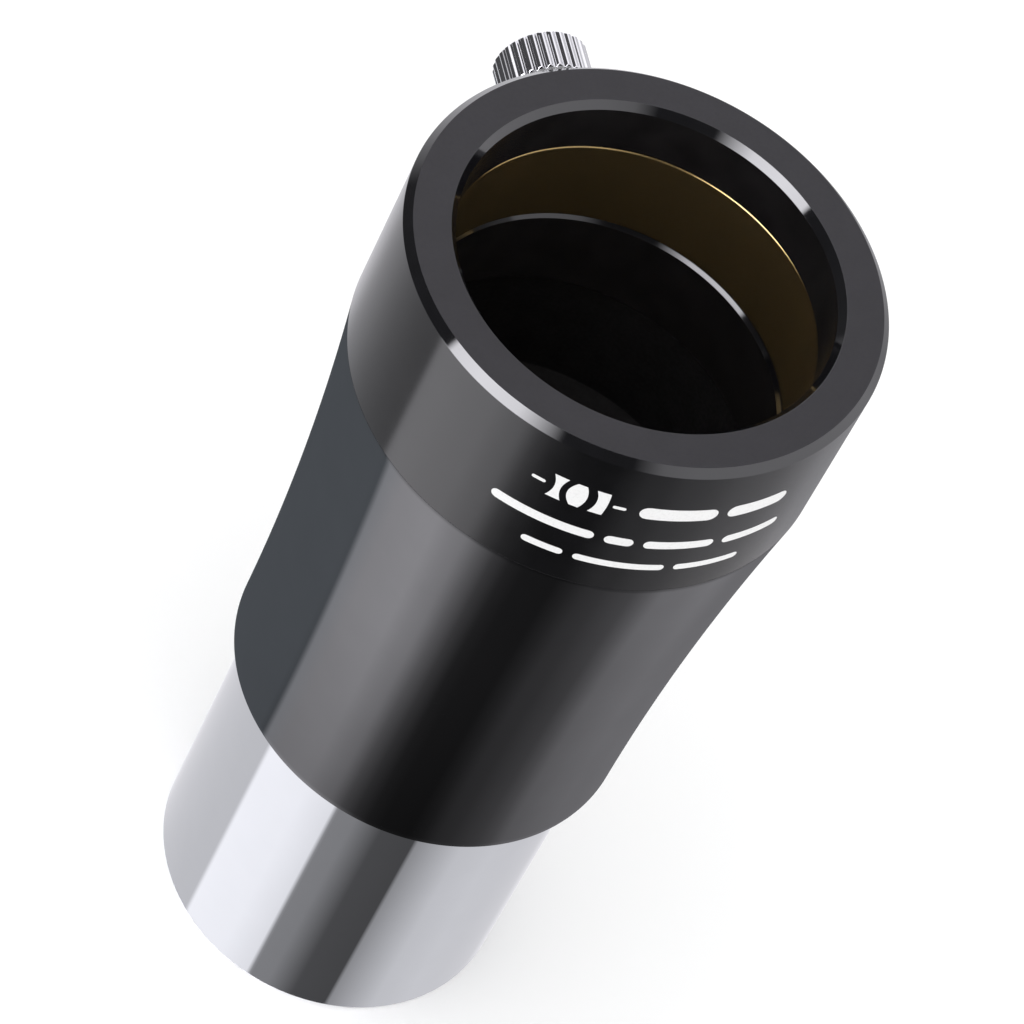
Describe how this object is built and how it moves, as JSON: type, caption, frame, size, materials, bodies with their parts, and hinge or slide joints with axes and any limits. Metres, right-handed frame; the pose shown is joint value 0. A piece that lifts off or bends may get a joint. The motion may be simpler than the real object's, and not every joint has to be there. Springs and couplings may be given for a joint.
{
  "type": "telescope barlow lens",
  "caption": "Long black flared Barlow lens with a plated nosepiece, an open eyepiece socket with a brass clamping ring, and a knurled side screw.",
  "frame": {"origin": "on the optical axis, in the plane where the plated nosepiece meets the body's lower face", "axes": "+Z along the optical axis towards the eyepiece socket's mouth, +Y along the thumbscrew away from the axis"},
  "size_m": [0.0406, 0.048, 0.09],
  "materials": {
    "head_black": "black anodised, satin",
    "body_black": "black anodised, semi-gloss",
    "nose_plating": "bright plated",
    "screw_plating": "bright plated, knurled",
    "stud_steel": "plated thread",
    "ring_brass": "turned, bright",
    "inner_black": "blackened, matte",
    "crown_glass": "multi-coated, green reflex",
    "flint_glass": "multi-coated, violet reflex",
    "marking_ink": "screen printed"
  },
  "bodies": {
    "root": {"nosepiece": "nose_plating", "lens_cell": "inner_black", "rear_lens": "flint_glass", "middle_lens": "crown_glass", "lens_spacer": "inner_black", "front_lens": "crown_glass", "lens_retainer": "inner_black", "main_body": "body_black", "light_baffle": "inner_black", "holder_head": "head_black"},
    "ring": {"compression_ring": "ring_brass"},
    "stud": {"thumbscrew_stud": "stud_steel"},
    "knob": {"thumbscrew_head": "screw_plating"}
  },
  "joints": [
    {"name": "thumbscrew_travel", "type": "slide", "parent": "root", "child": "stud", "axis": [0, -1, 0], "range_m": [-0.0007, 0.00035]},
    {"name": "thumbscrew_turn", "type": "hinge", "parent": "stud", "child": "knob", "pos_m": [0, 0.0243, 0.0503], "axis": [0, -1, 0], "range_deg": [-360.5, 180.5]},
    {"name": "ring_clamp", "type": "slide", "parent": "root", "child": "ring", "axis": [0, -1, 0], "range_m": [-0.000201, 0.000101]}
  ],
  "couplings": [
    {"joint": "thumbscrew_turn", "follows": "thumbscrew_travel", "rad_per_m": 8976},
    {"joint": "ring_clamp", "follows": "thumbscrew_travel", "ratio": 0.28571}
  ]
}
